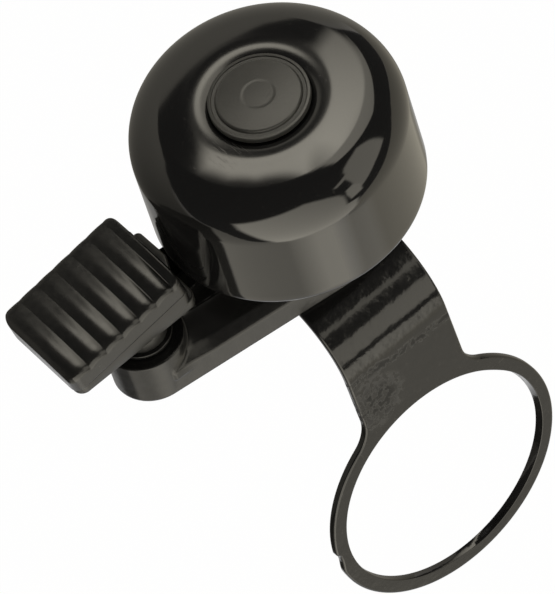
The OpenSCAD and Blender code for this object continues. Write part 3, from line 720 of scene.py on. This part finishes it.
def lever_wedge():
    """The wedge under the pad: a rounded plate whose top climbs with the pad's slope."""
    near, far = pad_near + 0.02, pad_near + pad_width
    outline = rounded([(-33.9, near), (-17.2, near), (-17.2, 14), (-17.65, 16), (-17.65, far),
                       (-33.9, far)], [1.2, 0.9, 1.0, 1.0, 1.3, 1.7], 10)
    return slab(outline, lambda x: lever_z + 0 * x,
                lambda x: pad_plane_z + (x - pivot_axis[0]) * np.tan(pad_slope), 0.08)


def lever_plate():
    """The flat inner end of the lever with the tab that reaches under the dome's rim."""
    outline = rounded([(-21, pad_near), (-16.5, pad_near), (-16.4, 16.5), (-15.5, 18.3), (-15.6, 23.3),
                       (-16.4, 23.3), (-16.4, 23.86), (-21, 23.86)],
                      [0.5, 1.1, 0.3, 0.6, 0.7, 0.1, 0.25, 0.5], 8)
    return slab(outline, lambda x: lever_z + 0 * x, lambda x: 44.1 - 0.2 * (-15.5 - x), 0.2)


def ring_of(inner, outer, low, high, edge):
    """Profile of a plain ring with round edges."""
    return rounded([(inner, low), (outer, low), (outer, high), (inner, high)], edge, 5)


lever_hub = turned(ring_of(1.77, 3.1, washer_top, lever_z + 0.3, 0.12), pivot_axis, 96)
stop_lug = peg((-18.0, 13.6), 0.8, 40.2, lever_z + 0.3)
add("ribbed_pad", [ribbed_pad()], "lever", "pad_plastic", "thumb_pad")
lever_patches = [lever_wedge(), lever_plate(), lever_hub, stop_lug]
add("lever_body", lever_patches, "lever", "lever_plastic", "lever_arm")


# Spring, pivot and fixings


def return_coil():
    """The return spring's wire: a leg down, a helix and a leg up, all at one distance from the pivot."""
    coil, start, pitch, turns, wire = 2.35, 36.15, 1.0, 3, 0.25
    leg_foot, leg_head = 34.8, 41.7
    turn = np.linspace(0, 2 * np.pi * turns, 181)
    helix = np.column_stack([np.cos(turn) * coil, np.sin(turn) * coil, start + pitch * turn / (2 * np.pi)])
    end = start + turns * pitch
    foot = np.column_stack([np.full(9, coil), np.zeros(9), np.linspace(leg_foot, start - 0.06, 9)])
    head = np.column_stack([np.full(9, coil), np.zeros(9), np.linspace(end + 0.06, leg_head, 9)])
    path = np.concatenate([foot, helix, head])
    leg_side = np.tile([1.0, 0, 0], (9, 1))
    helix_side = np.column_stack([np.cos(turn), np.sin(turn), 0 * turn])
    side = np.concatenate([leg_side, helix_side, leg_side])
    return tube(path + np.array([*pivot_axis, 0]), side, wire, 12)


def threaded(axis, radius, low, high, pitch, depth):
    """A screw thread: the radius falls by depth times a triangle wave of height / pitch - turn."""
    turn = np.linspace(0, 2 * np.pi, 72, endpoint=False)
    height = np.linspace(low, high, 120)[:, None]
    wave = np.abs(np.mod((height - low) / pitch - turn / (2 * np.pi), 1) - 0.5) * 2
    r = radius - depth * wave - 0.5 * np.maximum(0.4 - (height - low), 0)
    skin = np.stack([axis[0] + r * np.cos(turn), axis[1] + r * np.sin(turn), height + 0 * turn], -1)
    ends = skin[[0, -1]].mean(1, keepdims=True) + 0 * skin[:2]
    return np.concatenate([ends[:1], skin, ends[1:]]), False, True


def hexagon_nut(axis, flats, bore, low, high):
    """A nut whose radius is the hexagon's, cut by a cone at both faces.

    The hexagon's radius is flats / 2 / cos of the angle from the middle of the nearest flat.
    """
    turn = np.linspace(0, 2 * np.pi, 360, endpoint=False)
    hexagon = flats / 2 / np.cos(np.mod(turn, np.pi / 3) - np.pi / 6)
    tall = high - low
    chamfer = np.array([0, 0, 0.04, 0.12, 0.2, 0.3, 0.42, 0.6])
    height = np.concatenate([chamfer, tall - chamfer[::-1]])
    cone = flats / 2 - 0.1 + np.minimum(height, tall - height) * 1.9
    r = np.minimum(hexagon[None], cone[:, None])
    r[[0, -1]] = bore
    skin = np.stack([axis[0] + r * np.cos(turn), axis[1] + r * np.sin(turn),
                     low + height[:, None] + 0 * turn], -1)
    return skin, True, True


def button(axis, radius, low, high, dome_rise, shank, shank_top):
    """A round head with a domed underside, h = rise (1 - (r / R)^2), on a plain shank."""
    r = np.linspace(0, radius - 0.05, 14)
    face = np.column_stack([r, low + dome_rise * (r / radius) ** 2])
    rest = rounded([face[-1], (radius, low + dome_rise + 0.08), (radius, high), (shank, high),
                    (shank, shank_top), (0, shank_top)], [0.02, 0.04, 0.05, 0.05, 0.08, 0.1], 4, False)
    return turned(np.concatenate([face, rest[1:]]), axis, 64, False)


add("return_coil", [return_coil()], "base", "spring_steel", "return_spring")
pivot_ring = turned(ring_of(1.3, 3.6, washer_foot, washer_top, 0.12), pivot_axis, 96)
add("pivot_ring", [pivot_ring], "lever", "arm_plastic", "pivot_washer")

nut_low, nut_high = span("post_nut")
post_low, post_high = span("dome_post")
foot_top = arm_top + 1.0
post = rounded([(1.53, 39.0), (1.95, 39.0), (1.95, arm_top), (4.2, arm_top), (4.2, foot_top),
                (2.5, foot_top), (2.5, post_high[2]), (1.53, post_high[2])],
               [0.05, 0.05, 0.03, 0.15, 0.15, 0.2, 0.15, 0.1], 5)
stud = threaded(dome_axis, 2.0, post_low[2], 39.2, 0.7, 0.26)
add("dome_post_turned", [turned(post, dome_axis, 72), stud], "base", "plated_steel", "dome_post")
clamp_nut = hexagon_nut(dome_axis, 7.0, 2.02, nut_low[2], nut_high[2])
add("clamp_nut", [clamp_nut], "base", "plated_steel", "post_nut")

pin_top = span("pivot_pin")[1][2]
pivot_rivet = button(pivot_axis, 2.2, seat_z, seat_z + 1.0, 0.35, 1.25, pin_top)
add("pivot_rivet", [pivot_rivet], "base", "plated_steel", "pivot_pin")

rivet_low, rivet_high = span("striker_rivets")
rivet_first = np.array([-17.3, 18.0])
hammer_low, hammer_high = span("hammer")
hammer_axis = (hammer_low[:2] + hammer_high[:2]) / 2
rivet_second = rivet_first + 3.2 * np.array([-np.cos(np.radians(35)), np.sin(np.radians(35))])
striker_buttons = [button(rivet, 1.2, rivet_low[2], rivet_low[2] + 0.5, 0.2, 0.7, rivet_high[2])
                   for rivet in (rivet_first, rivet_second)]
add("striker_buttons", striker_buttons, "lever", "plated_steel", "striker_rivets")
leaf_low, leaf_high = span("striker_arm")


def striker_leaf():
    """A flat leaf along four points: both edges run half_width from the path, mitred at its bends."""
    half_width, tail = 1.6, 1.3
    path = np.array([rivet_second, rivet_first, (-12.5, 18.0), hammer_axis])
    along = unit(np.diff(path, axis=0))
    side = np.column_stack([along[:, 1], -along[:, 0]])
    mitre = (side[:-1] + side[1:]) / (1 + (side[:-1] * side[1:]).sum(1, keepdims=True))
    offset = half_width * np.concatenate([side[:1], mitre, side[-1:]])
    path[0] -= tail * along[0]
    path[-1] += half_width * along[-1]
    edges = np.concatenate([path + offset, (path - offset)[::-1]])
    outline = rounded(edges, [1, 0.8, 0.8, 1, 1, 0.8, 0.8, 1], 8)
    return slab(outline, lambda x: leaf_low[2] + 0 * x, lambda x: leaf_high[2] + 0 * x, 0.06)


# The leaf's near-black colour is painted shade, standing in for the shade it lies in under the dome.
piece("striker_leaf", [striker_leaf()], leaf_painted_shade(), "striker", "spring_steel", "striker_arm")

head = rounded([(0, hammer_low[2]), (0.82, hammer_low[2]), (0.82, 42.2), (1.1, 42.2), (1.1, 45.65),
                (1.65, 45.65), (2.2, 46.2), (2.2, hammer_high[2] - 0.55), (1.65, hammer_high[2]),
                (0, hammer_high[2])],
               [0.1, 0.03, 0.02, 0.03, 0.15, 0.2, 0.25, 0.25, 0.25, 0.1], 5, False)
add("striker_head", [turned(head, hammer_axis, 72, False)], "striker", "brass", "hammer")

bumper_low, bumper_high = span("stop_bumper")
bumper_axis = (bumper_low[:2] + bumper_high[:2]) / 2
stop = rounded([(0, bumper_low[2]), (0.7, bumper_low[2]), (0.7, arm_top), (1.0, arm_top),
                (1.0, bumper_high[2]), (0, bumper_high[2])], [0.1, 0.1, 0.03, 0.08, 0.25, 0.1], 5, False)
add("lever_stop", [turned(stop, bumper_axis, 48, False)], "base", "rubber", "stop_bumper")

for row in frame["record"]["subparts"]:
    solid = frame["nodes"][row["node"]]
    solid.data.materials.clear()
    solid.data.materials.append(finish_of_slot[row["material_slot"]].material)


# Camera and studio

studio_middle = np.array([-5.0, 16.0, 26.0])


def studio_camera():
    """The photograph's view: a long lens whose axes come from its right, up and backward directions."""
    lens = bpy.data.cameras.new("studio_camera")
    lens.lens = 530.33
    lens.sensor_width = 36
    lens.clip_start = 0.05
    lens.clip_end = 50
    seen = bpy.data.objects.new("studio_camera", lens)
    right, up, back = (0.7539, -0.6288, -0.1906), (0.612, 0.5665, 0.5519), (-0.239, -0.5327, 0.8119)
    place = (-0.24418, -0.51655, 0.83805)
    seen.matrix_world = Matrix.Translation(place) @ Matrix((right, up, back)).transposed().to_4x4()
    bpy.context.scene.collection.objects.link(seen)
    bpy.context.scene.camera = seen


def direction(azimuth, elevation):
    """Unit vector: azimuth from -Y towards +X, elevation above the level, both in degrees."""
    a, e = np.radians(azimuth), np.radians(elevation)
    return np.stack([np.sin(a) * np.cos(e), -np.cos(a) * np.cos(e), np.sin(e)], -1)


def studio_card(name, corners, distance, level, lean=(0, 0, 0), fade=0.1, tint=(1.0, 0.945, 0.81)):
    """A curved card of light or shade: a polygon of (azimuth, elevation), filled from its middle out.

    Its level changes by lean for every metre along x, y and z. Towards the border the card fades out over
    the last share of the way, given by fade.
    """
    corner = np.asarray(corners, float)
    share = np.linspace(0, 1, 8, endpoint=False)[None, :, None]
    border = (corner[:, None] + share * (np.roll(corner, -1, 0) - corner)[:, None]).reshape(-1, 2)
    middle = border.mean(0)
    reach = np.concatenate([np.linspace(0, 0.9, 8), np.linspace(0.92, 1, 5)])[:, None]
    fan = middle + reach[..., None] * (border - middle)
    grid = studio_middle + distance / MM * direction(fan[..., 0], fan[..., 1])
    glow = Finish(name, "MixShader")
    start = 0.5 - 0.5 * np.dot(grid.mean((0, 1)) * MM, lean) / level
    colour = glow.between(glow.along(lean) * (0.5 / level) + start, (0, 0, 0), tint)
    light = glow.node("Emission", {}, {"Color": colour, "Strength": 2 * level})
    inside = glow.ramp(glow.node("Attribute", {"attribute_name": "reach"}, {}, 2), (1 - fade, 1), (1, 0))
    glow.plug(glow.surface, {0: inside, 1: glow.node("BsdfTransparent"), 2: light})
    card = piece(name, [(grid, False, True)], glow, None, None, reach=reach + 0 * fan[..., 0])
    card.visible_camera = False


def studio():
    """White surroundings, with cards that give the soft lights and the dark gaps between them."""
    floor_z, canopy_distance = -1600, 850
    scene = bpy.context.scene
    scene.view_settings.view_transform = "Standard"
    world = bpy.data.worlds.new("white_room")
    world.use_nodes = True
    tree = world.node_tree
    path = tree.nodes.new("ShaderNodeLightPath")
    tone = tree.nodes.new("ShaderNodeMix")
    tone.data_type = "RGBA"
    tone.inputs[6].default_value = (1, 0.95, 0.86, 1)
    tone.inputs[7].default_value = (1, 1, 1, 1)
    tree.links.new(path.outputs["Is Camera Ray"], tone.inputs[0])
    tree.links.new(tone.outputs[2], tree.nodes["Background"].inputs["Color"])
    tree.nodes["Background"].inputs["Strength"].default_value = 1
    scene.world = world
    floor = Finish("pale_floor", "MixShader")
    rays = ("Is Camera Ray", "Is Glossy Ray", "Is Transmission Ray")
    paths = [floor.node("LightPath", output=ray) for ray in rays]
    seen = floor.node("Clamp", {}, {"Value": paths[0] + paths[1] + paths[2]})
    plain = floor.node("BsdfDiffuse", {}, {"Color": (0.8, 0.8, 0.8, 1)})
    white = floor.node("Emission", {}, {"Color": (1, 1, 1, 1), "Strength": 1.0})
    floor.plug(floor.surface, {0: seen * 0.98, 1: plain, 2: white})
    edge = np.linspace(-4000, 4000, 9)
    x, y = np.meshgrid(edge, edge)
    ground = np.stack([x, y, 0 * x + floor_z], -1)
    piece("pale_floor", [(ground, False, False)], floor, None, None)
    ring = np.linspace(-180, 180, 73)
    border = np.array([(-180, 46), (-165, 47), (-150, 45), (-130, 34), (-115, 22), (-105, 10), (-97, 0),
                       (-90, -5), (-83, -8), (-75, -15), (-66, -30), (-58, -38), (-50, -40), (14, -40),
                       (18, -26), (30, -20), (45, -12), (60, 0), (70, 8), (80, 12), (90, 10), (105, 2),
                       (120, 1), (124, 15), (130, 28), (137, 37), (150, 37), (165, 41), (180, 46)])
    low = np.interp(ring, border[:, 0], border[:, 1])
    climb = np.linspace(0, 1, 12)[:, None]
    shade = Finish("dark_canopy", "Emission")
    shade.shade(Color=(1, 0.97, 0.93, 1), Strength=0.1)
    dome = studio_middle + canopy_distance * direction(ring[None] + 0 * climb, low + climb * (90 - low))
    canopy = piece("dark_canopy", [(dome, False, False)], shade, None, None)
    canopy.visible_camera = False
    studio_card("front_light", [(-72, 14), (-45, 31), (-30, 38), (-18, 42), (-10, 38), (0, 29), (7, 19),
                                (10, 9), (10, -4), (10, -15), (20, -20), (19.5, -36), (14, -44), (4, -48),
                                (-8, -49), (-26, -50), (-38, -50), (-47, -46), (-55, -30), (-61, -15),
                                (-68, 0)], 0.6, 2.95, lean=(-2.1, 0, -1.2))
    studio_card("foot_light", [(-40, -44), (-8, -42), (12, -44), (16, -52), (12, -60), (-8, -60),
                               (-40, -60)], 0.62, 2.3, fade=0.75)
    studio_card("leg_shade", [(11, -40), (19, -40), (31, -42), (31, -50), (18, -50), (12, -48)],
                0.58, 0.95, fade=0.2)
    studio_card("side_light", [(18, 38), (22, 43), (26, 52), (33, 57), (45, 60), (62, 60), (58, 30),
                               (57, 15), (40, 8), (26, -2), (19, -6), (17, 4), (18, 22)], 0.8, 2.0)
    studio_card("neck_light", [(11, 16), (18, 18), (23, 6), (23, -11), (12, -12), (10, 4)],
                0.77, 2.4, fade=0.2)
    studio_card("side_streak", [(6, 37), (14, 40.5), (24, 45), (26, 42), (17, 35.5), (8, 32.5)],
                0.78, 1.9, fade=0.25)
    studio_card("back_light", [(62, 74), (90, 78), (120, 77), (128, 60), (128, 28), (115, 36), (100, 43),
                               (85, 47), (75, 60)], 0.7, 2.3, lean=(0, 0, 3.5))
    studio_card("back_glow", [(134, 76.5), (158, 74), (171, 72.5), (182, 68), (186, 62), (178, 58),
                              (158, 58), (137, 58)], 0.69, 5.2, fade=0.25)
    studio_card("back_edge", [(118, 79), (143, 77), (149, 60), (142, 47), (137, 36), (129, 29), (119, 26)],
                0.68, 3.4, lean=(0, 0, 20), fade=0.4)
    studio_card("back_grey", [(122, -58), (122, 0), (126, 20), (140, 42), (150, 64), (176, 62), (195, 54),
                              (215, 50), (240, 30), (255, 10), (268, -8), (262, -58)],
                1.0, 0.62, lean=(0.22, 0, 0.45))
    studio_card("left_bounce", [(-92, -4), (-83, -8), (-75, -15), (-66, -30), (-54, -43), (-25, -46),
                                (-5, -50), (4, -60), (-97, -60)], 0.9, 1.05)
    studio_card("near_bounce", [(0, -44), (24, -44), (40, -50), (48, -60), (0, -60)], 0.75, 1.2, fade=0.6)
    studio_card("side_bounce", [(10, -59), (12, -40), (19, -26), (30, -20), (45, -12), (60, 0), (70, 8),
                                (80, 12), (90, 10), (105, 2), (134, 0), (136, -59)],
                1.1, 0.88, lean=(0, -0.35, 0), fade=0.05, tint=(1.0, 0.93, 0.76))
    studio_card("dark_pocket", [(-97, 0), (-84, -8), (-83, -30), (-85, -42), (-91, -49), (-94, -59),
                                (-138, -59), (-143, -50), (-131, -28), (-118, -14), (-105, -5)], 0.8, 0.07)


studio_camera()
studio()
